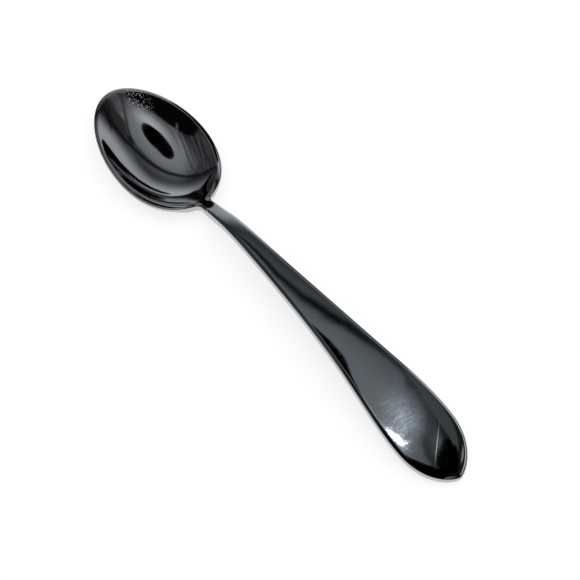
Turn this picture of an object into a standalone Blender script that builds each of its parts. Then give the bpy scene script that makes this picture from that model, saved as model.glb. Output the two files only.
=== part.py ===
"""Soup spoon: one stamped and polished piece of steel with an egg-shaped bowl, a neck and a broad handle.

The spoon lies on a table, as it does when it isn't in use. X runs from the bowl's tip to the handle's end,
Y is across the spoon and Z is up. The origin is on the table, under the middle of the spoon. Sizes are in
metres.
"""

import math

import bmesh
import bpy
import numpy as np

# Plan, seen from above
LENGTH = 0.185
BOWL_LENGTH = 0.0549
BOWL_WIDTH = 0.0369
BOWL_EGG = 0.107  # share by which the bowl is broader towards the neck and slimmer towards its tip
SHOULDER_RADIUS = 0.0020
NECK_WIDTH = 0.0048
QUARTER_WIDTH = 0.0076  # a quarter of the way from the neck to the widest part of the handle
MIDDLE_WIDTH = 0.0116
THREE_QUARTER_WIDTH = 0.0175
WIDEST_WIDTH = 0.0233
END_LENGTH = 0.0192  # from the widest part to the end of the handle
END_FLANK_POWER = 2.35  # how long the flanks stay straight past the widest part
END_NOSE_POWER = 1.48  # under 2 draws the end out to a soft point

# Side view: height over the table of the rim and of the edges of the handle's top
TIP_HEIGHT = 0.0110
RIM_HEIGHT = 0.0084
NECK_HEIGHT = 0.0068
CLIMB_HEIGHT = 0.0078
RISE_HEIGHT = 0.0101
LEVEL_HEIGHT = 0.0119
ARCH_HEIGHT = 0.0126
FALL_HEIGHT = 0.0098
CLIMB_DISTANCE = 0.005  # these five distances run back from the neck
RISE_DISTANCE = 0.0125
LEVEL_DISTANCE = 0.029
ARCH_DISTANCE = 0.057
FALL_DISTANCE = 0.095

# Metal
RIM_THICKNESS = 0.0012
BOTTOM_THICKNESS = 0.0014
NECK_THICKNESS = 0.0037
HANDLE_THICKNESS = 0.0030
END_THICKNESS = 0.0026
NECK_BLEND = 0.005  # stretch of the bowl over which the rim swells to the neck
NECK_TAPER = 0.018  # stretch behind the neck over which it thins to the handle
EDGE_ROUND = 0.0006
EDGE_POWER = 2.4  # 2 is a half round edge, more is squarer
EDGE_BEVEL = 0.0006  # width of the slope between the rounded edge and the rest of the upper face
SHOULDER_BEVEL = 0.0010  # how much broader that slope is at the shoulders
BEVEL_SLOPE = 0.55
BEVEL_SOFTNESS = 0.00015
RIM_ROLL = 0.05  # softness of the turn from the rim into the hollow, as a share of the depth
NECK_ROLL = 0.12  # the same in the middle of the neck
NECK_DIP = 0.0009  # depth by which the neck is pressed in from above, where the hollow runs out
NECK_LIFT = 0.0004  # the same from below
NECK_PRESS_LENGTH = 0.0035
NECK_PRESS_ADVANCE = 0.0009  # how far the middle of both lies before the neck
BOWL_FULLNESS = 0.4  # 0 is a parabola, more gives steeper walls and a flatter bottom
HANDLE_CROWN = 0.0002  # rise of the handle's top between its edges
END_CROWN = 0.0004  # the same at the handle's end
BOWL_FLAT = 0.00015  # depth of the flat that the bowl rests on
END_FLAT = 0.0004  # depth of the flat that the handle's end rests on

# Mesh
BOWL_STEPS = 26
SHOULDER_STEPS = 5
HANDLE_STEPS = 30
END_STEPS = 12
FACE_STEPS = 10
EDGE_STEPS = 6
SEARCH_STEPS = 4000
TIP_FOCUS = 0.30  # where the mesh lines of the bowl's tip meet, as a share of the bowl's length
NECK_LEAN = 0.005  # how far the mesh lines lean back at the neck
NECK_RECOVERY = 0.010  # distance behind the neck in which most of that lean is lost
END_FOCUS = 0.30  # where the mesh lines of the handle's end meet, as a share of the end's length

STEEL_COLOUR = (0.50, 0.50, 0.51, 1.0)
STEEL_ROUGHNESS = 0.12


def spline(stations, values, at, last_slope=None):
    """Cubic spline through values at stations, unbent at its first end and, with no last_slope, at its last."""
    count = len(stations)
    step = np.diff(stations)
    slope = np.diff(values) / step
    system = np.zeros((count, count))
    right = np.zeros(count)
    inner = np.arange(1, count - 1)
    system[inner, inner - 1] = step[:-1]
    system[inner, inner] = 2.0 * (step[:-1] + step[1:])
    system[inner, inner + 1] = step[1:]
    right[inner] = 6.0 * np.diff(slope)
    system[0, 0] = 1.0
    system[-1, -1] = 1.0
    if last_slope is not None:
        system[-1, -2:] = step[-1], 2.0 * step[-1]
        right[-1] = 6.0 * (last_slope - slope[-1])
    bend = np.linalg.solve(system, right)
    piece = np.clip(np.searchsorted(stations, at) - 1, 0, count - 2)
    along = at - np.asarray(stations)[piece]
    start = slope[piece] - step[piece] * (2.0 * bend[piece] + bend[piece + 1]) / 6.0
    twist = (bend[piece + 1] - bend[piece]) / (6.0 * step[piece])
    return np.asarray(values)[piece] + along * (start + along * (bend[piece] / 2.0 + along * twist))


def ease(start, end, at):
    """Smooth step from 0 at start to 1 at end."""
    share = np.clip((at - start) / (end - start), 0.0, 1.0)
    return share * share * (3.0 - 2.0 * share)


def handle_half_width(x):
    """Half the handle's width between the neck and its widest part."""
    widest_at = LENGTH - END_LENGTH
    widths = (NECK_WIDTH, QUARTER_WIDTH, MIDDLE_WIDTH, THREE_QUARTER_WIDTH, WIDEST_WIDTH)
    stations = np.linspace(BOWL_LENGTH, widest_at, len(widths))
    return spline(stations, np.array(widths) / 2.0, x, last_slope=0.0)


def bowl_point(turn):
    """Point of the bowl's outline, from its tip at turn 0 to the neck at turn pi."""
    x = BOWL_LENGTH * (1.0 - np.cos(turn)) / 2.0
    y = BOWL_WIDTH / 2.0 * np.sin(turn) * (1.0 - BOWL_EGG * np.cos(turn))
    return x, y


def plan_normals(x, y):
    """Outward unit normals of an outline that starts and ends on the spoon's axis."""
    run_x = np.diff(np.concatenate([x[1:2], x, x[-2:-1]]))
    run_y = np.diff(np.concatenate([-y[1:2], y, -y[-2:-1]]))
    run = np.hypot(run_x, run_y)
    normal_x = -(run_y / run)[:-1] - (run_y / run)[1:]
    normal_y = (run_x / run)[:-1] + (run_x / run)[1:]
    size = np.hypot(normal_x, normal_y)
    return normal_x / size, normal_y / size


def shoulder():
    """Turn of the bowl where the shoulder's arc starts, and the arc's centre."""
    turn = np.linspace(math.pi / 2.0, math.pi, SEARCH_STEPS)
    x, y = bowl_point(turn)
    run_x = np.gradient(x)
    run_y = np.gradient(y)
    run = np.hypot(run_x, run_y)
    centre_x = x - SHOULDER_RADIUS * run_y / run
    centre_y = y + SHOULDER_RADIUS * run_x / run
    neck_side = handle_half_width(np.maximum(centre_x, BOWL_LENGTH)) + SHOULDER_RADIUS
    last = np.nonzero(centre_y > neck_side)[0][-1]
    return turn[last], centre_x[last], centre_y[last]


def outline():
    """Half of the spoon's outline: the bowl's egg, the shoulder's arc, the handle's side and its end."""
    turn, centre_x, centre_y = shoulder()
    bowl_x, bowl_y = bowl_point(np.linspace(0.0, turn, BOWL_STEPS + 1))
    start = math.atan2(bowl_y[-1] - centre_y, bowl_x[-1] - centre_x) % (2.0 * math.pi)
    angle = np.linspace(start, 1.5 * math.pi, SHOULDER_STEPS + 1)[1:]
    arc_x = centre_x + SHOULDER_RADIUS * np.cos(angle)
    arc_y = centre_y + SHOULDER_RADIUS * np.sin(angle)
    widest_at = LENGTH - END_LENGTH
    side_x = np.linspace(centre_x, widest_at, HANDLE_STEPS + 1)[1:]
    side_y = handle_half_width(side_x)
    sweep = np.linspace(0.0, math.pi / 2.0, END_STEPS + 1)[1:]
    end_x = widest_at + END_LENGTH * np.sin(sweep) ** (2.0 / END_FLANK_POWER)
    end_y = WIDEST_WIDTH / 2.0 * np.maximum(np.cos(sweep), 0.0) ** (2.0 / END_NOSE_POWER)
    x = np.concatenate([bowl_x, arc_x, side_x, end_x])
    y = np.concatenate([bowl_y, arc_y, side_y, end_y])
    y[[0, -1]] = 0.0
    return x, y


def ridge_height(x):
    """Height of the rim and of the edges of the handle's top, as a curve seen from the side."""
    behind = (0.0, CLIMB_DISTANCE, RISE_DISTANCE, LEVEL_DISTANCE, ARCH_DISTANCE, FALL_DISTANCE)
    stations = np.concatenate([[0.0, BOWL_LENGTH / 2.0], BOWL_LENGTH + np.array(behind), [LENGTH]])
    bowl = (TIP_HEIGHT, RIM_HEIGHT, NECK_HEIGHT)
    handle = (CLIMB_HEIGHT, RISE_HEIGHT, LEVEL_HEIGHT, ARCH_HEIGHT, FALL_HEIGHT)
    end_height = END_THICKNESS - END_FLAT
    return spline(stations, np.array((*bowl, *handle, end_height)), x)


def edge_height(x):
    """Height of the spoon's side wall: thin round the bowl, thick at the neck, thinner again at the end."""
    neck = 1.0 - ease(BOWL_LENGTH, BOWL_LENGTH + NECK_TAPER, x)
    end = ease((BOWL_LENGTH + LENGTH) / 2.0, LENGTH, x)
    metal = HANDLE_THICKNESS + (NECK_THICKNESS - HANDLE_THICKNESS) * neck
    metal = metal + (END_THICKNESS - HANDLE_THICKNESS) * end
    swell = ease(BOWL_LENGTH - NECK_BLEND, BOWL_LENGTH, x)
    return RIM_THICKNESS + (metal - RIM_THICKNESS) * swell


def neck_bell(y):
    """Bell curve across the spoon, as wide as the neck."""
    return np.exp(-((y / NECK_WIDTH) ** 2))


def shoulder_bevel(x):
    """Further width of the bevel: it swells towards the shoulders and fades out at the neck."""
    swell = ease(0.4 * BOWL_LENGTH, 0.95 * BOWL_LENGTH, x)
    fade = ease(0.95 * BOWL_LENGTH, BOWL_LENGTH + NECK_BLEND, x)
    return SHOULDER_BEVEL * (swell - fade)


def neck_press(x, y):
    """Share of the pressing at the neck: bell curves along and across the spoon."""
    along = (x - BOWL_LENGTH + NECK_PRESS_ADVANCE) / NECK_PRESS_LENGTH
    return np.exp(-(along**2)) * neck_bell(y)


def hollow(x, y, inset, extra=0.0):
    """Depth of a bowl inside the outline, as a share: 0 at its edge and past it, about 1 at its middle.

    The bowl's edge lies inside the outline by inset, and across the spoon by extra more.
    """
    across = BOWL_WIDTH / 2.0 - inset - extra
    along = 1.0 - 2.0 * (x - inset) / (BOWL_LENGTH - 2.0 * inset)
    width_squared = (1.0 - along**2) * (1.0 - BOWL_EGG * along) ** 2
    share = width_squared - (y / across) ** 2
    near_neck = ease(0.6 * BOWL_LENGTH, BOWL_LENGTH, x) * neck_bell(y)
    roll = RIM_ROLL + (NECK_ROLL - RIM_ROLL) * near_neck
    soft = (share + np.sqrt(share**2 + roll**2)) / 2.0
    return soft * (1.0 + BOWL_FULLNESS - BOWL_FULLNESS * soft)


def outer_depth():
    """Depth of the bowl's underside that lets it touch the table."""
    x = np.linspace(BOWL_LENGTH / 4.0, BOWL_LENGTH * 3.0 / 4.0, SEARCH_STEPS)
    room = ridge_height(x) - edge_height(x) + BOWL_FLAT
    return np.min(room / hollow(x, np.zeros_like(x), 0.0))


def crown_height(x):
    """Rise of the handle's middle over its edges: it starts behind the neck and grows towards the end."""
    behind = ease(BOWL_LENGTH, BOWL_LENGTH + RISE_DISTANCE, x)
    far = ease(BOWL_LENGTH + ARCH_DISTANCE, BOWL_LENGTH + FALL_DISTANCE, x)
    return HANDLE_CROWN * behind + (END_CROWN - HANDLE_CROWN) * far


def top_height(x, y, share, border):
    """Height of the upper face at x, y.

    share runs from 0 on the axis to 1 at the face's border, and border is the distance from there.
    """
    depth = outer_depth() + RIM_THICKNESS - BOTTOM_THICKNESS
    crown = crown_height(x) * (1.0 - share**2)
    width = EDGE_BEVEL + shoulder_bevel(x) * (1.0 - neck_bell(y))
    left = width - border
    bevel = BEVEL_SLOPE * (width - (left + np.sqrt(left**2 + BEVEL_SOFTNESS**2)) / 2.0)
    sunk = hollow(x, y, EDGE_ROUND + EDGE_BEVEL, shoulder_bevel(x))
    return ridge_height(x) + crown + bevel * (1.0 - sunk) - depth * sunk - NECK_DIP * neck_press(x, y)


def under_height(x, y):
    """Height of the underside at x, y, cut flat where it rests on the table."""
    sunk = ridge_height(x) - edge_height(x) - outer_depth() * hollow(x, y, 0.0)
    return np.maximum(sunk + NECK_LIFT * neck_press(x, y), 0.0)


def axis_points(x):
    """Point of the spoon's axis from which the mesh line to each outline point starts."""
    in_bowl = x / BOWL_LENGTH
    bowl = TIP_FOCUS * BOWL_LENGTH * (1.0 - in_bowl) - NECK_LEAN * in_bowl
    handle = -NECK_LEAN * np.exp(-np.maximum(x - BOWL_LENGTH, 0.0) / NECK_RECOVERY)
    past = np.maximum(x - (LENGTH - END_LENGTH), 0.0) / END_LENGTH
    return x + np.where(x < BOWL_LENGTH, bowl, handle) - END_FOCUS * END_LENGTH * past**2


def skin_rows():
    """Rows of points over half the spoon, from the axis over the top, round the edge and back to the axis."""
    x, y = outline()
    normal_x, normal_y = plan_normals(x, y)
    axis = axis_points(x)
    inner_x = x - EDGE_ROUND * normal_x
    inner_y = np.maximum(y - EDGE_ROUND * normal_y, 0.0)
    shares = (1.0 - np.cos(np.linspace(0.0, math.pi, FACE_STEPS + 1))) / 2.0
    top = []
    under = []
    for share in shares:
        row_x = axis + share * (inner_x - axis)
        row_y = share * inner_y
        border = np.hypot(inner_x - row_x, inner_y - row_y)
        top.append((row_x, row_y, top_height(row_x, row_y, share, border)))
        under.append((row_x, row_y, under_height(row_x, row_y)))
    high = top[-1][2]
    low = under[-1][2]
    edge = []
    for angle in np.linspace(0.0, math.pi, EDGE_STEPS + 1)[1:-1]:
        inset = EDGE_ROUND * (1.0 - math.sin(angle) ** (2.0 / EDGE_POWER))
        fall = math.copysign(abs(math.cos(angle)) ** (2.0 / EDGE_POWER), math.cos(angle))
        row_y = np.maximum(y - inset * normal_y, 0.0)
        edge.append((x - inset * normal_x, row_y, (high + low) / 2.0 + (high - low) / 2.0 * fall))
    return top + edge + under[::-1]


def build_spoon():
    """Closed mesh of the spoon: the rows of one half, mirrored to the other and joined ring by ring."""
    mesh_data = bmesh.new()
    rings = []
    rows = skin_rows()
    for index, (x, y, z) in enumerate(rows):
        half = [mesh_data.verts.new((px - LENGTH / 2.0, py, pz)) for px, py, pz in zip(x, y, z)]
        mirrored = half[1:-1]
        if 0 < index < len(rows) - 1:
            mirrored = [mesh_data.verts.new((v.co.x, -v.co.y, v.co.z)) for v in mirrored]
        rings.append(half + mirrored[::-1])
    for ring, next_ring in zip(rings, rings[1:]):
        for here in range(len(ring)):
            there = (here + 1) % len(ring)
            mesh_data.faces.new((ring[here], ring[there], next_ring[there], next_ring[here]))
    bmesh.ops.recalc_face_normals(mesh_data, faces=mesh_data.faces)
    mesh = bpy.data.meshes.new("spoon_body")
    mesh_data.to_mesh(mesh)
    mesh_data.free()
    mesh.shade_smooth()
    return mesh


def polished_steel():
    """Plain polished stainless steel."""
    material = bpy.data.materials.new("polished_steel")
    material.use_nodes = True
    shader = material.node_tree.nodes["Principled BSDF"]
    shader.inputs["Base Color"].default_value = STEEL_COLOUR
    shader.inputs["Metallic"].default_value = 1.0
    shader.inputs["Roughness"].default_value = STEEL_ROUGHNESS
    return material


def main():
    for old in list(bpy.data.objects):
        bpy.data.objects.remove(old, do_unlink=True)
    mesh = build_spoon()
    mesh.materials.append(polished_steel())
    spoon = bpy.data.objects.new("spoon_body", mesh)
    bpy.context.scene.collection.objects.link(spoon)


main()
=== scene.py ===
"""Looks of a plain soup spoon: a fine polished skin round its solid, on a pale floor in a small studio."""

import logging
import math
from dataclasses import dataclass
from enum import Enum

import bpy
import numpy as np
from mathutils import Matrix, Vector


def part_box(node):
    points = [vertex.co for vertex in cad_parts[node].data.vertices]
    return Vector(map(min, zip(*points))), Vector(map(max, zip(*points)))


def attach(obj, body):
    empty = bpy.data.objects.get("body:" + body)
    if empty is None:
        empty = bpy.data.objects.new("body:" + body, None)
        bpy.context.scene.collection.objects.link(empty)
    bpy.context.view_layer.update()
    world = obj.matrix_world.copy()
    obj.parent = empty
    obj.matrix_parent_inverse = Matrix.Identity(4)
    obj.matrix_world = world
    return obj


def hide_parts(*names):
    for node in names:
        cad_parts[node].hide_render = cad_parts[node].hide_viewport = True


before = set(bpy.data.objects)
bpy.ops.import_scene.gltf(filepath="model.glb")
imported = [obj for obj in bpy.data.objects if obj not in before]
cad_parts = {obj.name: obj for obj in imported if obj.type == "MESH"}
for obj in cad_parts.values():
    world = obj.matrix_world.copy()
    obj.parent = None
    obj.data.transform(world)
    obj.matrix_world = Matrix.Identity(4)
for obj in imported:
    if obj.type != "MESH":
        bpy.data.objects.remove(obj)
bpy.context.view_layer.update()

LOG = logging.getLogger("spoon")
FRAME_PIXELS = 580  # width and height of the photo
WEAR = "wear"  # the skin's attribute for how near a point is to the spoon's edge

Colour = tuple[float, float, float, float]
Socket = bpy.types.NodeSocket


class Ray(Enum):
    """Kinds of ray that a studio surface can tell apart, by the name of the Light Path socket."""

    CAMERA = "Is Camera Ray"
    GLOSSY = "Is Glossy Ray"
    TRANSMISSION = "Is Transmission Ray"


def spline(
    stations: np.ndarray, values: np.ndarray, at: np.ndarray, last_slope: float | None = None
) -> np.ndarray:
    """Cubic spline through values at stations, with no bend at its first end.

    The second slopes solve the usual three-term system; each piece is then a cubic in the distance from its
    start.

    Args:
        stations: Rising places of the values.
        values: Values at the stations.
        at: Places to read the curve at.
        last_slope: Slope at the last end, or None for no bend there.

    Returns:
        The curve at the wanted places.
    """
    count = len(stations)
    step = np.diff(stations)
    slope = np.diff(values) / step
    system = np.zeros((count, count))
    right = np.zeros(count)
    inner = np.arange(1, count - 1)
    system[inner, inner - 1] = step[:-1]
    system[inner, inner] = 2.0 * (step[:-1] + step[1:])
    system[inner, inner + 1] = step[1:]
    right[inner] = 6.0 * np.diff(slope)
    system[0, 0] = 1.0
    system[-1, -1] = 1.0
    if last_slope is not None:
        system[-1, -2:] = step[-1], 2.0 * step[-1]
        right[-1] = 6.0 * (last_slope - slope[-1])
    bend = np.linalg.solve(system, right)
    piece = np.clip(np.searchsorted(stations, at) - 1, 0, count - 2)
    along = at - stations[piece]
    start = slope[piece] - step[piece] * (2.0 * bend[piece] + bend[piece + 1]) / 6.0
    twist = (bend[piece + 1] - bend[piece]) / (6.0 * step[piece])
    return values[piece] + along * (start + along * (bend[piece] / 2.0 + along * twist))


def ease(start: float, end: float, at: np.ndarray) -> np.ndarray:
    """Smooth step from 0 at start to 1 at end: three times the share squared, less twice its cube."""
    share = np.clip((at - start) / (end - start), 0.0, 1.0)
    return share * share * (3.0 - 2.0 * share)


def rounded_steps(count: int) -> np.ndarray:
    """Shares from 0 to 1, close together at both ends: one less the cosine of an even half turn, halved."""
    return (1.0 - np.cos(np.linspace(0.0, math.pi, count + 1))) / 2.0


def add_object(name: str, data: bpy.types.ID) -> bpy.types.Object:
    """Makes an object and links it into the scene.

    Args:
        name: Name of the object.
        data: Its mesh, camera or light.

    Returns:
        The new object.
    """
    made = bpy.data.objects.new(name, data)
    bpy.context.scene.collection.objects.link(made)
    return made


@dataclass(frozen=True)
class SpoonBody:
    """The whole spoon, stamped from one piece of steel: bowl, neck and handle. Sizes are in metres.

    Inside the class x runs from the bowl's tip to the handle's end, y is across and z is up from the table.
    """

    # Plan, seen from above
    length: float
    bowl_length: float = 0.0549
    bowl_width: float = 0.0369
    bowl_egg: float = 0.107  # share by which the bowl is broader towards the neck
    shoulder_radius: float = 0.0020
    handle_widths: tuple[float, ...] = (0.0048, 0.0076, 0.0116, 0.0175, 0.0233)  # at even steps
    end_length: float = 0.0192  # from the widest part to the handle's end
    end_flank_power: float = 2.35  # how long the flanks stay straight past the widest part
    end_nose_power: float = 1.48  # under 2 draws the end out to a soft point

    # Side view: heights over the table of the rim and of the edges of the handle's top
    tip_height: float = 0.0110
    rim_height: float = 0.0084
    handle_heights: tuple[float, ...] = (0.0068, 0.0078, 0.0101, 0.0119, 0.0126, 0.0098)
    handle_distances: tuple[float, ...] = (0.0, 0.005, 0.0125, 0.029, 0.057, 0.095)  # from the neck

    # Metal
    rim_thickness: float = 0.0012
    bottom_thickness: float = 0.0014
    neck_thickness: float = 0.0037
    handle_thickness: float = 0.0030
    end_thickness: float = 0.0026
    neck_blend: float = 0.005  # stretch of the bowl over which the rim swells to the neck
    neck_taper: float = 0.018  # stretch behind the neck over which it thins to the handle
    bowl_fullness: float = 0.4  # 0 is a parabola, more gives steeper walls and a flatter bottom
    bowl_flat: float = 0.00015  # depth of the flat that the bowl rests on
    end_flat: float = 0.0004  # depth of the flat that the handle's end rests on

    # Edges, with places in the bowl as shares of its length
    edge_round: float = 0.0006
    edge_power: float = 2.4  # 2 is a half round edge, more is squarer
    edge_bevel: float = 0.0006  # width of the slope between the edge and the rest of the upper face
    shoulder_bevel: float = 0.0010  # how much broader that slope is at the shoulders
    shoulder_swell: tuple[float, float] = (0.4, 0.95)
    bevel_slope: float = 0.55
    bevel_softness: float = 0.00015
    rim_roll: float = 0.05  # softness of the turn into the hollow, as a share of the depth
    neck_roll: float = 0.12  # the same in the middle of the neck
    neck_roll_from: float = 0.6
    wear_reach: float = 0.0006  # how far in from the outline the edge is rubbed

    # Pressing at the neck, and the rise of the handle's top between its edges
    neck_dip: float = 0.0009  # depth by which the neck is pressed in from above
    neck_lift: float = 0.0004  # the same from below
    neck_press_length: float = 0.0035
    neck_press_advance: float = 0.0009  # how far the middle of both lies before the neck
    handle_crown: float = 0.0002
    end_crown: float = 0.0004
    end_roll: float = 0.0003  # further rise of the end's top, which is lost only near its edges
    end_roll_limits: tuple[float, float] = (0.152, 0.172)
    end_roll_power: float = 4.0

    # Mesh
    tip_focus: float = 0.30  # where the mesh lines of the tip meet, as a share of the bowl's length
    neck_lean: float = 0.005  # how far the mesh lines lean back at the neck
    neck_recovery: float = 0.010  # distance behind the neck in which most of that lean is lost
    end_focus: float = 0.30  # where the mesh lines of the end meet, as a share of its length
    bowl_columns: int = 170
    shoulder_columns: int = 24
    handle_columns: int = 150
    end_columns: int = 76
    top_rows: int = 44
    edge_rows: int = 14
    under_rows: int = 24
    search_steps: int = 4000  # places tried for the shoulder and for the bowl's depth

    @property
    def widest_at(self) -> float:
        """Place of the widest part of the handle."""
        return self.length - self.end_length

    def handle_half_width(self, x: np.ndarray) -> np.ndarray:
        """Half the handle's width: a spline through its widths, level at the widest part."""
        stations = np.linspace(self.bowl_length, self.widest_at, len(self.handle_widths))
        return spline(stations, np.array(self.handle_widths) / 2.0, x, last_slope=0.0)

    def bowl_point(self, turn: np.ndarray) -> tuple[np.ndarray, np.ndarray]:
        """Bowl's outline: an ellipse whose width is scaled by one less the egg share times the turn's cosine.

        Args:
            turn: Angle round the bowl, 0 at its tip and half a turn at the neck.

        Returns:
            x and y of the outline.
        """
        x = self.bowl_length * (1.0 - np.cos(turn)) / 2.0
        y = self.bowl_width / 2.0 * np.sin(turn) * (1.0 - self.bowl_egg * np.cos(turn))
        return x, y

    def shoulder(self) -> tuple[float, float, float]:
        """Place of the arc that joins the bowl to the neck.

        Circles of the arc's radius roll round the outside of the bowl, and the last that clears the neck is
        taken.

        Returns:
            The bowl's turn where the arc starts, and the x and y of the arc's centre.
        """
        turn = np.linspace(math.pi / 2.0, math.pi, self.search_steps)
        x, y = self.bowl_point(turn)
        run_x = np.gradient(x)
        run_y = np.gradient(y)
        run = np.hypot(run_x, run_y)
        centre_x = x - self.shoulder_radius * run_y / run
        centre_y = y + self.shoulder_radius * run_x / run
        neck_side = self.handle_half_width(np.maximum(centre_x, self.bowl_length)) + self.shoulder_radius
        last = np.nonzero(centre_y > neck_side)[0][-1]
        return turn[last], centre_x[last], centre_y[last]

    def outline(self) -> tuple[np.ndarray, np.ndarray]:
        """Half of the outline: the bowl's egg, the shoulder's arc, the handle's spline and its drawn-out end.

        The end is a quarter of an oval whose sine and cosine are raised to powers, which keeps its flanks
        straight and its nose softly pointed.

        Returns:
            x and y from the bowl's tip to the handle's end.
        """
        turn, centre_x, centre_y = self.shoulder()
        bowl_x, bowl_y = self.bowl_point(np.linspace(0.0, turn, self.bowl_columns + 1))
        start = math.atan2(bowl_y[-1] - centre_y, bowl_x[-1] - centre_x) % (2.0 * math.pi)
        angle = np.linspace(start, 1.5 * math.pi, self.shoulder_columns + 1)[1:]
        arc_x = centre_x + self.shoulder_radius * np.cos(angle)
        arc_y = centre_y + self.shoulder_radius * np.sin(angle)
        side_x = np.linspace(centre_x, self.widest_at, self.handle_columns + 1)[1:]
        side_y = self.handle_half_width(side_x)
        sweep = np.linspace(0.0, math.pi / 2.0, self.end_columns + 1)[1:]
        end_x = self.widest_at + self.end_length * np.sin(sweep) ** (2.0 / self.end_flank_power)
        nose = np.maximum(np.cos(sweep), 0.0) ** (2.0 / self.end_nose_power)
        end_y = self.handle_widths[-1] / 2.0 * nose
        x = np.concatenate([bowl_x, arc_x, side_x, end_x])
        y = np.concatenate([bowl_y, arc_y, side_y, end_y])
        y[[0, -1]] = 0.0
        return x, y

    @staticmethod
    def plan_normals(x: np.ndarray, y: np.ndarray) -> tuple[np.ndarray, np.ndarray]:
        """Unit normals of the half outline: the mean of its two chords at each point, turned outwards.

        Args:
            x: Places of the outline along the spoon.
            y: Places of the outline across it.

        Returns:
            x and y of the normals.
        """
        run_x = np.diff(np.concatenate([x[1:2], x, x[-2:-1]]))
        run_y = np.diff(np.concatenate([-y[1:2], y, -y[-2:-1]]))
        run = np.hypot(run_x, run_y)
        normal_x = -(run_y / run)[:-1] - (run_y / run)[1:]
        normal_y = (run_x / run)[:-1] + (run_x / run)[1:]
        size = np.hypot(normal_x, normal_y)
        return normal_x / size, normal_y / size

    def ridge_height(self, x: np.ndarray) -> np.ndarray:
        """Height of the rim and of the edges of the handle's top: a spline through heights along the spoon.

        Args:
            x: Places along the spoon.

        Returns:
            Heights over the table.
        """
        behind = self.bowl_length + np.array(self.handle_distances)
        stations = np.concatenate([[0.0, self.bowl_length / 2.0], behind, [self.length]])
        end_height = self.end_thickness - self.end_flat
        heights = np.array([self.tip_height, self.rim_height, *self.handle_heights, end_height])
        return spline(stations, heights, x)

    def edge_height(self, x: np.ndarray) -> np.ndarray:
        """Height of the side wall: thin at the rim, thickest at the neck, eased to the handle and its end.

        Args:
            x: Places along the spoon.

        Returns:
            Heights from the wall's foot to its top.
        """
        neck = 1.0 - ease(self.bowl_length, self.bowl_length + self.neck_taper, x)
        end = ease((self.bowl_length + self.length) / 2.0, self.length, x)
        metal = self.handle_thickness + (self.neck_thickness - self.handle_thickness) * neck
        metal = metal + (self.end_thickness - self.handle_thickness) * end
        swell = ease(self.bowl_length - self.neck_blend, self.bowl_length, x)
        return self.rim_thickness + (metal - self.rim_thickness) * swell

    def extra_bevel(self, x: np.ndarray) -> np.ndarray:
        """Further width of the bevel: it swells towards the shoulders and fades out at the neck.

        Args:
            x: Places along the spoon.

        Returns:
            Widths to add to the bevel's own.
        """
        start, full = (share * self.bowl_length for share in self.shoulder_swell)
        fade = ease(full, self.bowl_length + self.neck_blend, x)
        return self.shoulder_bevel * (ease(start, full, x) - fade)

    def hollow(
        self, x: np.ndarray, y: np.ndarray, inset: float, extra: float | np.ndarray = 0.0
    ) -> np.ndarray:
        """Depth of a bowl inside the outline less inset, as a share.

        The share is the square of the bowl's half width at x, over its greatest, less the square of y over
        that greatest. A root of its square plus the roll's square makes it fade to 0 outside the rim, and the
        fullness then steepens the walls and levels the bottom. The roll grows where the hollow runs into the
        neck, by a bell curve across it.

        Args:
            x: Places along the spoon.
            y: Places across it.
            inset: Distance by which the hollow's edge lies inside the outline.
            extra: Further distance across the spoon.

        Returns:
            0 past the edge, and about 1 at the middle.
        """
        near_neck = ease(self.neck_roll_from * self.bowl_length, self.bowl_length, x)
        across = self.bowl_width / 2.0 - inset - extra
        along = 1.0 - 2.0 * (x - inset) / (self.bowl_length - 2.0 * inset)
        share = (1.0 - along**2) * (1.0 - self.bowl_egg * along) ** 2 - (y / across) ** 2
        middle = near_neck * self.neck_bell(y)
        roll = self.rim_roll + (self.neck_roll - self.rim_roll) * middle
        soft = (share + np.sqrt(share**2 + roll**2)) / 2.0
        return soft * (1.0 + self.bowl_fullness - self.bowl_fullness * soft)

    def neck_bell(self, y: np.ndarray) -> np.ndarray:
        """Bell curve across the spoon, as wide as the neck."""
        return np.exp(-((y / self.handle_widths[0]) ** 2))

    def neck_press(self, x: np.ndarray, y: np.ndarray) -> np.ndarray:
        """Share of the pressing at the neck: bell curves along and across the spoon."""
        along = (x - self.bowl_length + self.neck_press_advance) / self.neck_press_length
        return np.exp(-(along**2)) * self.neck_bell(y)

    def outer_depth(self) -> float:
        """Depth of the bowl's underside that lets its lowest part just touch the table.

        Returns:
            The least depth found along the middle half of the bowl.
        """
        x = np.linspace(self.bowl_length / 4.0, self.bowl_length * 3.0 / 4.0, self.search_steps)
        room = self.ridge_height(x) - self.edge_height(x) + self.bowl_flat
        return float(np.min(room / self.hollow(x, np.zeros_like(x), 0.0)))

    def crown(self, x: np.ndarray) -> np.ndarray:
        """Rise of the handle's middle over its edges: it eases in behind the neck, and grows towards the end.

        Args:
            x: Places along the spoon.

        Returns:
            Heights over the edges.
        """
        _, _, rise, _, arch, fall = self.handle_distances
        behind = ease(self.bowl_length, self.bowl_length + rise, x)
        far = ease(self.bowl_length + arch, self.bowl_length + fall, x)
        return self.handle_crown * behind + (self.end_crown - self.handle_crown) * far

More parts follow.
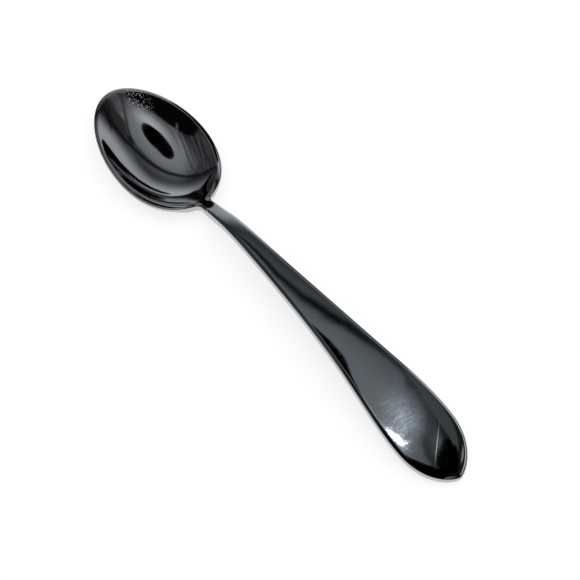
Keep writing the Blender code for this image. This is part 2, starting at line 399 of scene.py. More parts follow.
    def top_height(self, x: np.ndarray, y: np.ndarray, share: np.ndarray, border: np.ndarray) -> np.ndarray:
        """Upper face: the ridge's height, plus a crown on the handle, less the hollow of the bowl.

        The face rises from its border at the bevel's slope until it is the bevel's width away, with a soft
        turn there, and loses that rise again as the hollow sinks. The handle's end also rolls over at its
        edges, by a power of the share.

        Args:
            x: Places along the spoon.
            y: Places across it.
            share: Share of the way from the axis to the border.
            border: Distance from the border.

        Returns:
            Heights over the table.
        """
        depth = self.outer_depth() + self.rim_thickness - self.bottom_thickness
        roll = self.end_roll * ease(*self.end_roll_limits, x)
        crown = self.crown(x) * (1.0 - share**2) + roll * (1.0 - share**self.end_roll_power)
        extra = self.extra_bevel(x)
        width = self.edge_bevel + extra * (1.0 - self.neck_bell(y))
        left = width - border
        bevel = self.bevel_slope * (width - (left + np.sqrt(left**2 + self.bevel_softness**2)) / 2.0)
        sunk = self.hollow(x, y, self.edge_round + self.edge_bevel, extra)
        face = self.ridge_height(x) + crown + bevel * (1.0 - sunk) - depth * sunk
        return face - self.neck_dip * self.neck_press(x, y)

    def under_height(self, x: np.ndarray, y: np.ndarray) -> np.ndarray:
        """Underside: the ridge less the side wall and the bowl's outer depth, cut flat at the table."""
        sunk = self.ridge_height(x) - self.edge_height(x) - self.outer_depth() * self.hollow(x, y, 0.0)
        return np.maximum(sunk + self.neck_lift * self.neck_press(x, y), 0.0)

    def axis_points(self, x: np.ndarray) -> np.ndarray:
        """Places on the axis where the mesh lines to the outline's points start: they fan out at both ends.

        Args:
            x: Places of the outline along the spoon.

        Returns:
            Places along the axis.
        """
        in_bowl = x / self.bowl_length
        bowl = self.tip_focus * self.bowl_length * (1.0 - in_bowl) - self.neck_lean * in_bowl
        handle = -self.neck_lean * np.exp(-np.maximum(x - self.bowl_length, 0.0) / self.neck_recovery)
        past = np.maximum(x - self.widest_at, 0.0) / self.end_length
        shift = np.where(x < self.bowl_length, bowl, handle)
        return x + shift - self.end_focus * self.end_length * past**2

    def half_skin(self) -> np.ndarray:
        """Half of the skin as a grid, with rows from the axis over the top, round the edge and back to it.

        A face's row is a share of the way from the axis to the outline drawn in by the edge's radius. An
        edge's row is at an angle of a squarish oval, whose sine and cosine are raised to powers.

        Returns:
            Points with the shape rows, columns, 3.
        """
        x, y = self.outline()
        normal_x, normal_y = self.plan_normals(x, y)
        axis = self.axis_points(x)
        inner_x = x - self.edge_round * normal_x
        inner_y = np.maximum(y - self.edge_round * normal_y, 0.0)

        def face(shares: np.ndarray) -> tuple[np.ndarray, np.ndarray]:
            """x and y of a face's rows at these shares of the way from the axis to the edge."""
            return axis + shares * (inner_x - axis), shares * inner_y

        top_shares = rounded_steps(self.top_rows)[:, None]
        top_x, top_y = face(top_shares)
        border = np.hypot(inner_x - top_x, inner_y - top_y)
        top_z = self.top_height(top_x, top_y, top_shares, border)
        under_x, under_y = face(rounded_steps(self.under_rows)[::-1, None])
        under_z = self.under_height(under_x, under_y)
        angle = np.linspace(0.0, math.pi, self.edge_rows + 1)[1:-1, None]
        inset = self.edge_round * (1.0 - np.sin(angle) ** (2.0 / self.edge_power))
        fall = np.sign(np.cos(angle)) * np.abs(np.cos(angle)) ** (2.0 / self.edge_power)
        edge_x = x - inset * normal_x
        edge_y = np.maximum(y - inset * normal_y, 0.0)
        edge_z = (top_z[-1] + under_z[0]) / 2.0 + (top_z[-1] - under_z[0]) / 2.0 * fall
        parts = ((top_x, top_y, top_z), (edge_x, edge_y, edge_z), (under_x, under_y, under_z))
        return np.concatenate([np.stack(part, axis=-1) for part in parts])

    def mesh_arrays(self) -> tuple[np.ndarray, np.ndarray, np.ndarray]:
        """Closed skin: the half and its mirror image, which share the points on the axis.

        The wear falls off from the outline by a power of e of the distance to it.

        Returns:
            Points in the frame's own place, the corners of the four-sided faces, and the wear at the points.
        """
        half = self.half_skin()
        side_x, side_y = self.outline()
        rows, columns, _ = half.shape
        mirrored = half[:, -2:0:-1] * np.array([1.0, -1.0, 1.0])
        ring = np.concatenate([half, mirrored], axis=1)
        index = np.arange(ring.shape[0] * ring.shape[1]).reshape(ring.shape[:2])
        for row in (0, rows - 1):
            index[row, columns:] = index[row, columns - 2 : 0 : -1]
        used, packed = np.unique(index, return_inverse=True)
        index = packed.reshape(index.shape)
        points = ring.reshape(-1, 3)[used] - np.array([self.length / 2.0, 0.0, 0.0])
        worn = np.exp(-np.hypot(half[..., 0] - side_x, half[..., 1] - side_y) / self.wear_reach)
        worn = np.concatenate([worn, worn[:, -2:0:-1]], axis=1).reshape(-1)[used]
        after = np.roll(index, -1, axis=1)
        faces = np.stack([index[:-1], after[:-1], after[1:], index[1:]], axis=-1).reshape(-1, 4)
        return points, faces, worn

    def build(self) -> bpy.types.Object:
        """Makes the skin's object, smooth and at the origin, in place of the solid.

        Returns:
            The skin, with no finish yet.
        """
        points, faces, worn = self.mesh_arrays()
        mesh = bpy.data.meshes.new("spoon_skin")
        mesh.from_pydata(points, [], faces)
        mesh.validate()
        mesh.attributes.new(WEAR, "FLOAT", "POINT").data.foreach_set("value", worn.astype(np.float32))
        mesh.shade_smooth()
        skin = add_object("spoon_skin", mesh)
        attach(skin, "root")
        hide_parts("spoon_body")
        return skin


class Wiring:
    """Short way to add nodes to a tree and join them."""

    def __init__(self, tree: bpy.types.NodeTree) -> None:
        """Keeps the tree that the nodes go into."""
        self.tree = tree

    def node(self, kind: str, inputs: dict | None = None, **settings: object) -> bpy.types.Node:
        """Adds a node.

        Args:
            kind: Blender's name of the node type.
            inputs: For each input, by name or number, a value or the output socket that feeds it.
            settings: The node's own properties.

        Returns:
            The new node.
        """
        node = self.tree.nodes.new(kind)
        for name, value in settings.items():
            setattr(node, name, value)
        for name, value in (inputs or {}).items():
            if isinstance(value, bpy.types.NodeSocket):
                self.tree.links.new(value, node.inputs[name])
            else:
                node.inputs[name].default_value = value
        return node

    def math(self, operation: str, *values: object) -> Socket:
        """Adds a Math node on these values and returns its output."""
        return self.node("ShaderNodeMath", dict(enumerate(values)), operation=operation).outputs[0]

    def vector(self, operation: str, *values: object) -> bpy.types.Node:
        """Adds a Vector Math node on these values and returns it."""
        return self.node("ShaderNodeVectorMath", dict(enumerate(values)), operation=operation)

    def ramp(self, value: Socket, start: float, end: float) -> Socket:
        """Smooth step of a value from 0 at start to 1 at end."""
        steps = {"Value": value, "From Min": start, "From Max": end}
        return self.node("ShaderNodeMapRange", steps, interpolation_type="SMOOTHSTEP").outputs[0]

    def mix(self, share: Socket, first: object, second: object, label: str = "") -> Socket:
        """Mixes two numbers: a Mix node takes them at inputs 2 and 3."""
        return self.node("ShaderNodeMix", {"Factor": share, 2: first, 3: second}, label=label).outputs[0]

    def blend(self, share: Socket, first: object, second: object) -> Socket:
        """Mixes two colours: a Mix node takes them at inputs 6 and 7, and gives the new one at output 2."""
        return self.node("ShaderNodeMix", {"Factor": share, 6: first, 7: second}, data_type="RGBA").outputs[2]

    def measured(
        self,
        place: Socket,
        size: tuple[float, float, float],
        centre: tuple[float, float] = (0.0, 0.0),
        turn: float = 0.0,
    ) -> Socket:
        """Measures a place from a centre, in units of a size along each axis.

        Args:
            place: Place in the tree's own units.
            size: Length of the new unit along each axis.
            centre: Centre along the first two axes.
            turn: Turn of the axes about the third, in degrees.

        Returns:
            The place in the new units.
        """
        inputs = {
            "Vector": place,
            "Location": (*centre, 0.0),
            "Rotation": (0.0, 0.0, math.radians(turn)),
            "Scale": size,
        }
        return self.node("ShaderNodeMapping", inputs, vector_type="TEXTURE").outputs["Vector"]

    def noise(self, place: Socket, detail: float = 1.0, dimensions: str = "3D") -> Socket:
        """Noise with lumps about one unit across."""
        inputs = {"Vector": place, "Scale": 1.0, "Detail": detail}
        return self.node("ShaderNodeTexNoise", inputs, noise_dimensions=dimensions).outputs[0]


@dataclass(frozen=True)
class Scuff:
    """Soft oval of the spoon's plan where the polish is worn.

    Lengths are in metres along and across the spoon, and the turn is in degrees.
    """

    centre: tuple[float, float]
    radii: tuple[float, float]
    turn: float = 0.0


@dataclass(frozen=True)
class PolishedSteel:
    """Mirror-polished steel worn by use: smudges, fine scratches and dull edges.

    The handle's faces carry painted shade, a darker bluish colour for a dimmer reflection there; its edges
    are rubbed and left in the plain colour. Its end has a haze of fine strokes, rougher and in a lighter
    bluish colour that is painted sheen, with a pale groove beyond it, and the bowl's tip is speckled.

    Lengths are in metres. A roughness other than the first is what the wear adds where it is full. Limits are
    the values of a pattern where a mark starts and where it is full.
    """

    colour: Colour = (0.50, 0.50, 0.51, 1.0)
    roughness: float = 0.05
    # painted shade: darker bluish colour on the handle's faces, standing in for a dimmer reflection there
    painted_shade_colour: Colour = (0.33, 0.36, 0.375, 1.0)
    painted_shade_limits: tuple[float, float] = (-0.036, -0.012)
    smudge_size: float = 0.011
    smudge_detail: float = 4.0
    smudge_limits: tuple[float, float] = (0.46, 0.70)
    smudge_roughness: float = 0.03
    scratch_length: float = 0.012
    scratch_width: float = 0.00022
    scratch_turns: tuple[float, ...] = (14.0, -31.0, 72.0)
    scratch_limits: tuple[float, float] = (0.66, 0.74)
    scratch_roughness: float = 0.06
    scratch_depth: float = 3.0e-7
    haze: Scuff = Scuff((0.0660, 0.0000), (0.0170, 0.0105))
    # the haze's strokes are real roughness and bumps; this lighter bluish colour over them is painted sheen
    haze_painted_sheen_colour: Colour = (0.66, 0.70, 0.76, 1.0)
    haze_length: float = 0.007
    haze_width: float = 0.00010
    haze_turn: float = 82.0
    haze_detail: float = 4.0
    haze_limits: tuple[float, float] = (0.10, 0.90)
    haze_roughness: float = 0.24
    edge_roughness: float = 0.12
    groove: Scuff = Scuff((0.0802, 0.0002), (0.0090, 0.00032), -47.7)
    groove_share: float = 0.45  # strength of the groove beside that of the specks
    specks: Scuff = Scuff((-0.0848, 0.0072), (0.0100, 0.0050))
    speck_size: float = 0.00055
    speck_limits: tuple[float, float] = (0.34, 0.18)
    speck_colour: Colour = (0.60, 0.61, 0.63, 1.0)
    speck_roughness: float = 0.45
    wave_size: float = 0.009
    wave_height: float = 5.0e-5

    def material(self) -> bpy.types.Material:
        """Makes the material: a mirror whose roughness, colour and small bumps follow the wear, with painted
        shade and sheen in the colour.

        Returns:
            The finish of the whole spoon.
        """
        material = bpy.data.materials.new("polished_steel")
        material.use_nodes = True
        tree = material.node_tree
        wiring = Wiring(tree)
        shader = tree.nodes["Principled BSDF"]
        place = wiring.node("ShaderNodeTexCoord").outputs["Object"]
        smudges = wiring.noise(wiring.measured(place, (self.smudge_size,) * 3), self.smudge_detail)
        smudges = wiring.ramp(smudges, *self.smudge_limits)
        scratches = self.scratch_lines(wiring, place)
        haze = self.haze_strokes(wiring, place)
        specks = self.pale_marks(wiring, place)
        edges = wiring.node("ShaderNodeAttribute", attribute_name=WEAR).outputs["Fac"]
        along = wiring.node("ShaderNodeSeparateXYZ", {0: place}).outputs["X"]
        # Painted shade along the handle from the neck on, left off the edges, which keep the plain colour
        painted_shade = wiring.ramp(along, *self.painted_shade_limits)
        painted_shade = wiring.math("MULTIPLY", painted_shade, wiring.math("SUBTRACT", 1.0, edges))
        rough = self.roughness
        for share, amount in (
            (smudges, self.smudge_roughness),
            (scratches, self.scratch_roughness),
            (haze, self.haze_roughness),
            (wiring.math("MULTIPLY", edges, smudges), self.edge_roughness),
            (specks, self.speck_roughness),
        ):
            rough = wiring.math("MULTIPLY_ADD", share, amount, rough)
        colour = self.colour
        for share, other in (
            (painted_shade, self.painted_shade_colour),
            # painted sheen: lighter bluish colour in the haze
            (haze, self.haze_painted_sheen_colour),
            (specks, self.speck_colour),
        ):
            colour = wiring.blend(share, colour, other)
        marks = wiring.math("ADD", scratches, haze)
        tree.links.new(rough, shader.inputs["Roughness"])
        tree.links.new(colour, shader.inputs["Base Color"])
        tree.links.new(wiring.math("SUBTRACT", 1.0, specks), shader.inputs["Metallic"])
        tree.links.new(self.bumps(wiring, place, marks), shader.inputs["Normal"])
        return material

    def scratch_lines(self, wiring: Wiring, place: Socket) -> Socket:
        """Fine scratches: the peaks of noise that is drawn out in a few directions.

        Args:
            wiring: Tree to add the nodes to.
            place: Place on the spoon.

        Returns:
            1 on a scratch and 0 beside it.
        """
        size = (self.scratch_length, self.scratch_width, self.scratch_width)
        scratches = 0.0
        for turn in self.scratch_turns:
            lines = wiring.noise(wiring.measured(place, size, turn=turn))
            scratches = wiring.math("MAXIMUM", scratches, wiring.ramp(lines, *self.scratch_limits))
        return scratches

    def haze_strokes(self, wiring: Wiring, place: Socket) -> Socket:
        """Haze of fine strokes: noise that is drawn out in one direction, inside the haze's oval.

        Args:
            wiring: Tree to add the nodes to.
            place: Place on the spoon.

        Returns:
            Share of the haze.
        """
        size = (self.haze_length, self.haze_width, self.haze_width)
        strokes = wiring.noise(wiring.measured(place, size, turn=self.haze_turn), self.haze_detail)
        strokes = wiring.ramp(strokes, *self.haze_limits)
        return wiring.math("MULTIPLY", strokes, self.oval(wiring, place, self.haze))

    def pale_marks(self, wiring: Wiring, place: Socket) -> Socket:
        """Pale marks: specks at the tip, in the middles of small cells, and the groove at the handle's end.

        Args:
            wiring: Tree to add the nodes to.
            place: Place on the spoon.

        Returns:
            Share of the marks.
        """
        cells = wiring.node("ShaderNodeTexVoronoi", {"Vector": place, "Scale": 1.0 / self.speck_size})
        specks = wiring.ramp(cells.outputs["Distance"], *self.speck_limits)
        specks = wiring.math("MULTIPLY", specks, self.oval(wiring, place, self.specks))
        groove = wiring.math("MULTIPLY", self.oval(wiring, place, self.groove), self.groove_share)
        return wiring.math("MAXIMUM", specks, groove)

    def bumps(self, wiring: Wiring, place: Socket, marks: Socket) -> Socket:
        """Slow waves of the polished metal, with the marks sunk into them.

        Args:
            wiring: Tree to add the nodes to.
            place: Place on the spoon.
            marks: Share of the scratches' depth.

        Returns:
            Normal of the surface.
        """
        waves = wiring.noise(wiring.measured(place, (self.wave_size,) * 3))
        bump = wiring.node("ShaderNodeBump", {"Height": waves, "Distance": self.wave_height})
        inputs = {"Height": marks, "Distance": self.scratch_depth, "Normal": bump.outputs["Normal"]}
        return wiring.node("ShaderNodeBump", inputs, invert=True).outputs["Normal"]

    @staticmethod
    def oval(wiring: Wiring, place: Socket, scuff: Scuff) -> Socket:
        """Soft oval: a smooth step of the distance from its centre, over its radii.

        Args:
            wiring: Tree to add the nodes to.
            place: Place on the spoon.
            scuff: The oval.

        Returns:
            1 at its middle and 0 outside it.
        """
        within = wiring.measured(place, (*scuff.radii, 1.0), scuff.centre, scuff.turn)
        plan = wiring.vector("MULTIPLY", within, (1.0, 1.0, 0.0)).outputs["Vector"]
        return wiring.ramp(wiring.vector("LENGTH", plan).outputs["Value"], 1.0, 0.0)


@dataclass(frozen=True)
class PhotoCamera:
    """Camera at the photo's angle. Lengths are in metres and angles in degrees."""

    target: tuple[float, float, float] = (0.00859, -0.00040, 0.0080)
    distance: float = 0.533
    heading: float = -42.91
    elevation: float = 60.96
    roll: float = 3.14
    focal_pixels: float = 1601.2
    sensor_width: float = 36.0
    pixel_offset: float = 0.5  # from a pixel's corner to its middle

    def build(self) -> bpy.types.Object:
        """Makes the camera, aimed at the target, and puts it in charge of the scene.

        Returns:
            The camera.
        """
        heading = math.radians(self.heading)
        elevation = math.radians(self.elevation)
        roll = math.radians(self.roll)
        back = Vector(
            (
                math.cos(elevation) * math.cos(heading),
                math.cos(elevation) * math.sin(heading),
                math.sin(elevation),
            )
        )
        level_right = Vector((0.0, 0.0, 1.0)).cross(back).normalized()
        level_up = back.cross(level_right)
        right = math.cos(roll) * level_right + math.sin(roll) * level_up
        up = math.cos(roll) * level_up - math.sin(roll) * level_right
        step = self.pixel_offset * self.distance / self.focal_pixels
        aim = Vector(self.target) - right * step + up * step
        data = bpy.data.cameras.new("photo_camera")
        data.sensor_width = self.sensor_width
        data.lens = self.focal_pixels / FRAME_PIXELS * self.sensor_width
        camera = add_object("photo_camera", data)
        turn = Matrix((right, up, back)).transposed().to_4x4()
        camera.matrix_world = Matrix.Translation(aim + back * self.distance) @ turn
        bpy.context.scene.camera = camera
        return camera


def sky_axes(heading: float) -> tuple[Vector, Vector]:
    """Level unit vectors to the right of the photo's camera and towards it, for its heading in degrees."""
    turn = math.radians(heading)
    return Vector((-math.sin(turn), math.cos(turn), 0.0)), Vector((math.cos(turn), math.sin(turn), 0.0))


def sky_direction(heading: float, place: tuple[float, float]) -> Vector:
    """Direction of a place over the spoon: its tilt from the zenith is the place's distance from the middle.

    Args:
        heading: Heading of the photo's camera, in degrees.
        place: Degrees from the zenith, to the right and towards the camera.

    Returns:
        A unit vector.
    """
    right, near = sky_axes(heading)
    tilt = math.radians(math.hypot(*place))
    plan = (right * place[0] + near * place[1]).normalized()
    return plan * math.sin(tilt) + Vector((0.0, 0.0, math.cos(tilt)))


@dataclass(frozen=True)
class SkyPatch:
    """Soft oval in the room over the spoon, in degrees from the zenith: to the right and towards the camera.

    A power over 2 makes it squarer. With a line it is only its own outline, that share of the radii wide to
    each side.
    """

    name: str
    centre: tuple[float, float]
    radii: tuple[float, float]
    level: float
    softness: float = 1.0
    turn: float = 0.0
    power: float = 2.0
    line: float = 0.0


@dataclass(frozen=True)
class Dip:
    """Bell curve by which the dark band's upper edge rises round a bearing, in degrees."""

    height: float
    bearing: float
    width: float


@dataclass(frozen=True)
class Room:
    """Dim room over a pale horizon, which the polished metal mirrors.

    Places are in degrees from the zenith. Sectors lie between bearings from the far side, positive to the
    left, in degrees.
    """

    heading: float
    base_level: float = 0.032
    warm_tint: Colour = (0.96, 0.98, 1.0, 1.0)
    cool_tint: Colour = (0.90, 0.96, 1.04, 1.0)
    cool_limits: tuple[float, float] = (0.40, 0.62)
    dark_level: float = 0.004
    dark_from: float = 80.0  # tilt at which the dark band starts
    dark_sector: tuple[float, float] = (-38.0, 51.0)
    dips: tuple[Dip, ...] = (Dip(13.0, 28.0, 18.0), Dip(6.0, -36.0, 6.0))
    pale_level: float = 0.8
    pale_from: float = 81.0  # tilt at which the pale bands start
    pale_sectors: tuple[tuple[float, float], ...] = ((-60.0, -35.0), (31.5, 55.0))
    edge: float = 1.0  # half the width of the soft edges of bands and sectors
    walls: tuple[SkyPatch, ...] = (
        SkyPatch("far_wall", (0.0, -72.0), (100.0, 36.5), 0.66, power=4.0),
        SkyPatch("right_wall", (46.0, -52.0), (34.0, 28.0), 0.54, 0.8, power=2.6),
        SkyPatch("ceiling", (-45.0, -5.4), (65.3, 26.7), 0.06, 0.2, turn=4.0, power=6.0),
        SkyPatch("ceiling_glow", (-2.0, -7.0), (44.0, 40.0), 0.35, 0.9),
    )
    streak_size: tuple[float, float] = (4.5, 30.0)
    streak_detail: float = 3.0
    streak_depth: float = 1.7  # greatest change of the level, as a share of it
    streaks_aside: tuple[float, float] = (12.0, 28.0)  # the streaks fade in to both sides
    streaks_near: tuple[float, float] = (-40.0, -30.0)  # and from the far wall on towards the camera
    details: tuple[SkyPatch, ...] = (
        SkyPatch("ceiling_light", (-1.0, 5.0), (17.0, 17.0), 0.70),
        SkyPatch("right_dark", (36.0, -14.0), (15.0, 11.0), 0.040, 0.25, power=3.0),
        SkyPatch("right_light", (26.0, 3.0), (5.0, 8.0), 0.14, 0.6),
        SkyPatch("ceiling_side", (-45.0, -5.4), (65.3, 26.7), 0.05, turn=4.0, power=6.0, line=0.03),
        SkyPatch("ceiling_edge", (-45.0, -5.4), (90.0, 26.7), 0.010, turn=4.0, power=6.0, line=0.15),
        SkyPatch("ceiling_corner", (22.0, -22.0), (4.5, 4.5), 0.012, 0.7),
        SkyPatch("ceiling_seam", (-50.0, -1.0), (25.5, 30.0), 0.05, line=0.05),
        SkyPatch("dark_front", (0.0, 62.0), (90.0, 39.0), 0.003, 0.12),
        SkyPatch("dark_left", (-36.0, 36.0), (36.0, 23.0), 0.003, 0.12),
        SkyPatch("near_glow", (0.0, 88.0), (110.0, 38.0), 0.65, 0.7),
        SkyPatch("right_glint", (46.0, -8.0), (5.0, 6.0), 0.6, 0.8),
        SkyPatch("wisp", (-29.0, 19.0), (1.8, 8.0), 0.16, turn=33.7),
    )

    def build(self) -> bpy.types.World:
        """Makes the world: walls, streaks and details on a map of the directions, and low bands under them.

        Returns:
            The world, put in charge of the scene.
        """
        world = bpy.data.worlds.new("room")
        world.use_nodes = True
        tree = world.node_tree
        wiring = Wiring(tree)
        place, tilt, bearing = self.flat_map(wiring)
        drawn_out = wiring.measured(place, (*self.streak_size, 1.0))
        noise = wiring.noise(drawn_out, self.streak_detail, "2D")
        level = self.lay(wiring, place, self.base_level, self.walls)
        level = wiring.math("MULTIPLY", level, self.streaks(wiring, place, noise))
        level = self.lay(wiring, place, level, self.details)
        dark = self.step(wiring, self.dipped(wiring, tilt, bearing), self.dark_from)
        dark = wiring.math("MULTIPLY", dark, self.sector(wiring, bearing, self.dark_sector))
        level = wiring.mix(dark, level, self.dark_level)
        low = self.step(wiring, tilt, self.pale_from)
        for limits in self.pale_sectors:
            pale = wiring.math("MULTIPLY", low, self.sector(wiring, bearing, limits))
            level = wiring.mix(pale, level, self.pale_level)
        cool = wiring.ramp(noise, *self.cool_limits)
        cool = wiring.math("MULTIPLY", cool, wiring.math("SUBTRACT", 1.0, low))
        tint = wiring.blend(cool, self.warm_tint, self.cool_tint)
        background = tree.nodes["Background"]
        tree.links.new(tint, background.inputs["Color"])
        tree.links.new(level, background.inputs["Strength"])
        bpy.context.scene.world = world
        return world

    def flat_map(self, wiring: Wiring) -> tuple[Socket, Socket, Socket]:
        """Turns each direction into a point of a flat map, as far from its middle as the direction is tilted.

        Args:
            wiring: Tree to add the nodes to.

        Returns:
            The point, the tilt from the zenith, and the bearing from the far side, positive to the left.
        """
        direction = wiring.node("ShaderNodeTexCoord").outputs["Generated"]
        height = wiring.node("ShaderNodeSeparateXYZ", {0: direction}).outputs["Z"]
        tilt = wiring.math("DEGREES", wiring.math("ARCCOSINE", height))
        flat = wiring.vector("MULTIPLY", direction, (1.0, 1.0, 0.0)).outputs["Vector"]
        plan = wiring.vector("NORMALIZE", flat).outputs["Vector"]
        right, near = (
            wiring.vector("DOT_PRODUCT", plan, tuple(axis)).outputs["Value"]
            for axis in sky_axes(self.heading)
        )
        sides = {"X": wiring.math("MULTIPLY", right, tilt), "Y": wiring.math("MULTIPLY", near, tilt)}
        place = wiring.node("ShaderNodeCombineXYZ", sides).outputs["Vector"]
        left, far = (wiring.math("MULTIPLY", side, -1.0) for side in (right, near))
        bearing = wiring.math("DEGREES", wiring.math("ARCTAN2", left, far))
        return place, tilt, bearing

    def lay(
        self, wiring: Wiring, place: Socket, level: float | Socket, patches: tuple[SkyPatch, ...]
    ) -> Socket:
        """Lays patches over a level of light, one on another.

        Args:
            wiring: Tree to add the nodes to.
            place: Point of the map.
            level: Level of light under the patches.
            patches: The patches, the lowest first.

        Returns:
            The new level.
        """
        for patch in patches:
            level = wiring.mix(self.mask(wiring, place, patch), level, patch.level, patch.name)
        return level

    def streaks(self, wiring: Wiring, place: Socket, noise: Socket) -> Socket:
        """Streaks to both sides, as of blurred things on the walls and ceiling, but not on the far wall.

        Args:
            wiring: Tree to add the nodes to.
            place: Point of the map.
            noise: Noise drawn out to the far side.

        Returns:
            Factor of the level, about 1.
        """
        sides = wiring.node("ShaderNodeSeparateXYZ", {0: place})
        aside = wiring.ramp(wiring.math("ABSOLUTE", sides.outputs["X"]), *self.streaks_aside)
        aside = wiring.math("MULTIPLY", aside, wiring.ramp(sides.outputs["Y"], *self.streaks_near))
        swing = wiring.math("MULTIPLY_ADD", noise, 2.0 * self.streak_depth, -self.streak_depth)
        return wiring.math("MULTIPLY_ADD", swing, aside, 1.0)

    def dipped(self, wiring: Wiring, tilt: Socket, bearing: Socket) -> Socket:
        """Tilt with the dips' heights added, each by a bell curve of the way from its bearing over its width.

        Args:
            wiring: Tree to add the nodes to.
            tilt: Tilt from the zenith.
            bearing: Bearing from the far side.

        Returns:
            The greater tilt.
        """
        for dip in self.dips:
            way = wiring.math("DIVIDE", wiring.math("SUBTRACT", bearing, dip.bearing), dip.width)
            square = wiring.math("MULTIPLY", way, way)
            bell = wiring.math("POWER", math.e, wiring.math("MULTIPLY", square, -1.0))
            tilt = wiring.math("MULTIPLY_ADD", bell, dip.height, tilt)
        return tilt

    def step(self, wiring: Wiring, value: Socket, start: float) -> Socket:
        """Soft step of a value from 0 to 1 round start, in degrees."""
        return wiring.ramp(value, start - self.edge, start + self.edge)

    def sector(self, wiring: Wiring, bearing: Socket, limits: tuple[float, float]) -> Socket:
        """1 between two bearings from the far side, and 0 elsewhere."""
        first, last = (self.step(wiring, bearing, limit) for limit in limits)
        return wiring.math("SUBTRACT", first, last)

    @staticmethod
    def mask(wiring: Wiring, place: Socket, patch: SkyPatch) -> Socket:
        """Share of a patch at each place: 1 inside it, 0 outside, with a soft edge.

        The reach is the root of the sum of both coordinates, over the radii, raised to the patch's power.

        Args:
            wiring: Tree to add the nodes to.
            place: Point of the map.
            patch: The patch.

        Returns:
            The share.
        """
        within = wiring.measured(place, (*patch.radii, 1.0), patch.centre, patch.turn)
        sides = wiring.vector("ABSOLUTE", within).outputs["Vector"]
        sides = wiring.node("ShaderNodeSeparateXYZ", {0: sides})
        powers = [wiring.math("POWER", sides.outputs[axis], patch.power) for axis in "XY"]
        reach = wiring.math("POWER", wiring.math("ADD", *powers), 1.0 / patch.power)
        start, end = 1.0, 1.0 - patch.softness
        if patch.line:
            reach = wiring.math("ABSOLUTE", wiring.math("SUBTRACT", reach, 1.0))
            start, end = patch.line, 0.0
        return wiring.ramp(reach, start, end)


@dataclass(frozen=True)
class Floor:
    """Pale floor that keeps the spoon's soft shadow."""

    size: float = 8.0
    colour: Colour = (0.92, 0.92, 0.92, 1.0)
    glow: float = 0.76  # share that is white of itself

    def build(self) -> bpy.types.Object:
        """Makes the floor, a flat square under the spoon.

        Returns:
            The floor.
        """
        half = self.size / 2.0
        corners = [(-half, -half, 0.0), (half, -half, 0.0), (half, half, 0.0), (-half, half, 0.0)]
        mesh = bpy.data.meshes.new("floor")
        mesh.from_pydata(corners, [], [(0, 1, 2, 3)])
        mesh.materials.append(self.material())
        floor = add_object("floor", mesh)
        return floor

    def material(self) -> bpy.types.Material:
        """Makes the pale finish: part of it is lit, and the rest is white of itself where it is seen.

        Returns:
            The finish, which the camera, the metal and glass see alike.
        """
        material = bpy.data.materials.new("pale_floor")
        material.use_nodes = True
        tree = material.node_tree
        tree.nodes.clear()
        wiring = Wiring(tree)
        path = wiring.node("ShaderNodeLightPath")
        seen = wiring.math("MAXIMUM", path.outputs[Ray.CAMERA.value], path.outputs[Ray.GLOSSY.value])
        seen = wiring.math("MAXIMUM", seen, path.outputs[Ray.TRANSMISSION.value])
        lit = wiring.node("ShaderNodeBsdfDiffuse", {"Color": self.colour})
        white = wiring.node("ShaderNodeEmission")
        mix = wiring.node(
            "ShaderNodeMixShader",
            {0: wiring.math("MULTIPLY", seen, self.glow), 1: lit.outputs[0], 2: white.outputs[0]},
        )
        wiring.node("ShaderNodeOutputMaterial", {"Surface": mix.outputs[0]})
        return material


@dataclass(frozen=True)
class SoftLight:
    """Wide soft light from above, which the metal doesn't mirror."""

    strength: float = 3.0
    spread: float = 90.0

    def build(self) -> bpy.types.Object:
        """Makes the light.

        Returns:
            The light.
        """
        data = bpy.data.lights.new("soft_light", "SUN")
        data.energy = self.strength
        data.angle = math.radians(self.spread)
        light = add_object("soft_light", data)
        light.visible_glossy = False
        return light


@dataclass(frozen=True)
class Flag:
    """Oval card over the spoon that only the metal mirrors, dark or faintly lit. Lengths are in metres.

    The direction, from the spot that mirrors it, is in degrees from the zenith, to the right and towards the
    camera. The turn, in degrees, is of its first radius from the right towards the camera.
    """

    name: str
    spot: tuple[float, float, float]
    direction: tuple[float, float]
    distance: float
    radii: tuple[float, float]
    turn: float = 0.0
    level: float = 0.0
    corners: int = 96

    def build(self, heading: float) -> bpy.types.Object:
        """Makes the card, one oval face that is square to its direction.

        Args:
            heading: Heading of the photo's camera, in degrees.

        Returns:
            The card, kept out of sight of the camera.
        """
        towards = sky_direction(heading, self.direction)
        right, near = sky_axes(heading)
        turn = math.radians(self.turn)
        aim = right * math.cos(turn) + near * math.sin(turn)
        across = (aim - towards * aim.dot(towards)).normalized()
        along = towards.cross(across)
        angle = np.linspace(0.0, 2.0 * math.pi, self.corners, endpoint=False)
        axes = np.array([across * self.radii[0], along * self.radii[1]])
        middle = np.array(Vector(self.spot) + towards * self.distance)
        points = middle + np.stack([np.cos(angle), np.sin(angle)], axis=-1) @ axes
        mesh = bpy.data.meshes.new(self.name)
        mesh.from_pydata(points, [], [tuple(range(self.corners))])
        mesh.materials.append(self.material())
        card = add_object(self.name, mesh)
        card.visible_camera = False
        card.visible_diffuse = False
        card.visible_shadow = False
        return card

    def material(self) -> bpy.types.Material:
        """Makes a plain finish that gives off the card's level of light.

        Returns:
            The finish.
        """
        material = bpy.data.materials.new(self.name)
        material.use_nodes = True
        material.node_tree.nodes.clear()
        wiring = Wiring(material.node_tree)
        glow = wiring.node("ShaderNodeEmission", {"Strength": self.level})
        wiring.node("ShaderNodeOutputMaterial", {"Surface": glow.outputs[0]})
        return material


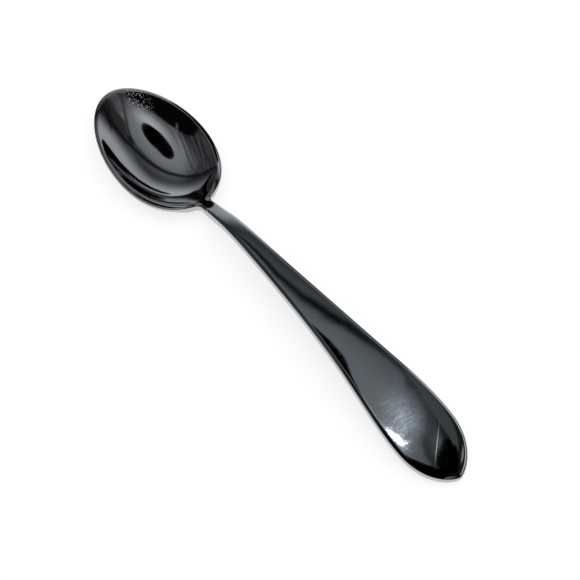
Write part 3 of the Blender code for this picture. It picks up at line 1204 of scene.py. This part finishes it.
@dataclass(frozen=True)
class SmallLamp:
    """Small lamp that only the metal mirrors, as a bright spot at the handle's end.

    Lengths are in metres. The direction, from the spot to the lamp, is in degrees from the zenith, to the
    right and towards the camera.
    """

    heading: float
    spot: tuple[float, float, float] = (0.0705, -0.0093, 0.0078)
    direction: tuple[float, float] = (10.3, -0.3)
    distance: float = 0.28
    size: tuple[float, float] = (0.003, 0.003)
    power: float = 0.0045
    colour: tuple[float, float, float] = (0.85, 0.92, 1.0)
    spread: float = 30.0

    def build(self) -> bpy.types.Object:
        """Makes the lamp and aims it at the spot.

        Returns:
            The lamp.
        """
        towards = sky_direction(self.heading, self.direction)
        data = bpy.data.lights.new("small_lamp", "AREA")
        data.shape = "RECTANGLE"
        data.size, data.size_y = self.size
        data.energy = self.power
        data.color = self.colour
        data.spread = math.radians(self.spread)
        data.use_shadow = False
        lamp = add_object("small_lamp", data)
        lamp.location = Vector(self.spot) + towards * self.distance
        lamp.rotation_euler = towards.to_track_quat("Z", "Y").to_euler()
        lamp.visible_diffuse = False
        return lamp


@dataclass(frozen=True)
class Studio:
    """Camera, room, floor, lights and cards round the spoon."""

    camera: PhotoCamera = PhotoCamera()
    flags: tuple[Flag, ...] = (
        Flag("ceiling_hatch", (-0.065, 0.0, 0.005), (0.0, -7.0), 1.0, (0.142, 0.176)),
        Flag("end_flag_right", (0.085, -0.002, 0.004), (31.0, 5.0), 0.25, (0.048, 0.067)),
        Flag("end_flag_near", (0.083, -0.006, 0.004), (14.0, 21.0), 0.25, (0.062, 0.062)),
        Flag("neck_flag", (-0.044, 0.004, 0.007), (-57.0, -61.0), 0.25, (0.064, 0.028), -43.0),
        Flag("left_flag", (-0.075, -0.014, 0.009), (51.5, -66.0), 0.25, (0.022, 0.028), 38.0),
        Flag("rim_flag", (-0.0665, 0.0325, 0.009), (0.0, 0.0), 0.0075, (0.0188, 0.0155), 47.1),
        Flag("end_flag_low", (0.083, -0.006, 0.004), (12.0, 55.0), 0.25, (0.110, 0.085)),
        Flag("end_glow", (0.072, 0.0085, 0.006), (27.0, -16.5), 0.25, (0.062, 0.022), 47.0, 0.12),
    )

    def build(self) -> None:
        """Builds the studio in order and reports its things."""
        heading = self.camera.heading
        things = [
            self.camera.build(),
            Room(heading).build(),
            Floor().build(),
            SoftLight().build(),
            SmallLamp(heading).build(),
            *(flag.build(heading) for flag in self.flags),
        ]
        LOG.info("studio: %s", ", ".join(thing.name for thing in things))


def main() -> None:
    """Builds the spoon, its finish and the studio in order."""
    logging.basicConfig(level=logging.INFO)
    bpy.context.scene.view_settings.view_transform = "Standard"
    low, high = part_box("spoon_body")
    skin = SpoonBody(length=high.x - low.x).build()
    skin.data.materials.append(PolishedSteel().material())
    LOG.info("%s: %d faces", skin.name, len(skin.data.polygons))
    Studio().build()


if __name__ == "__main__":
    main()
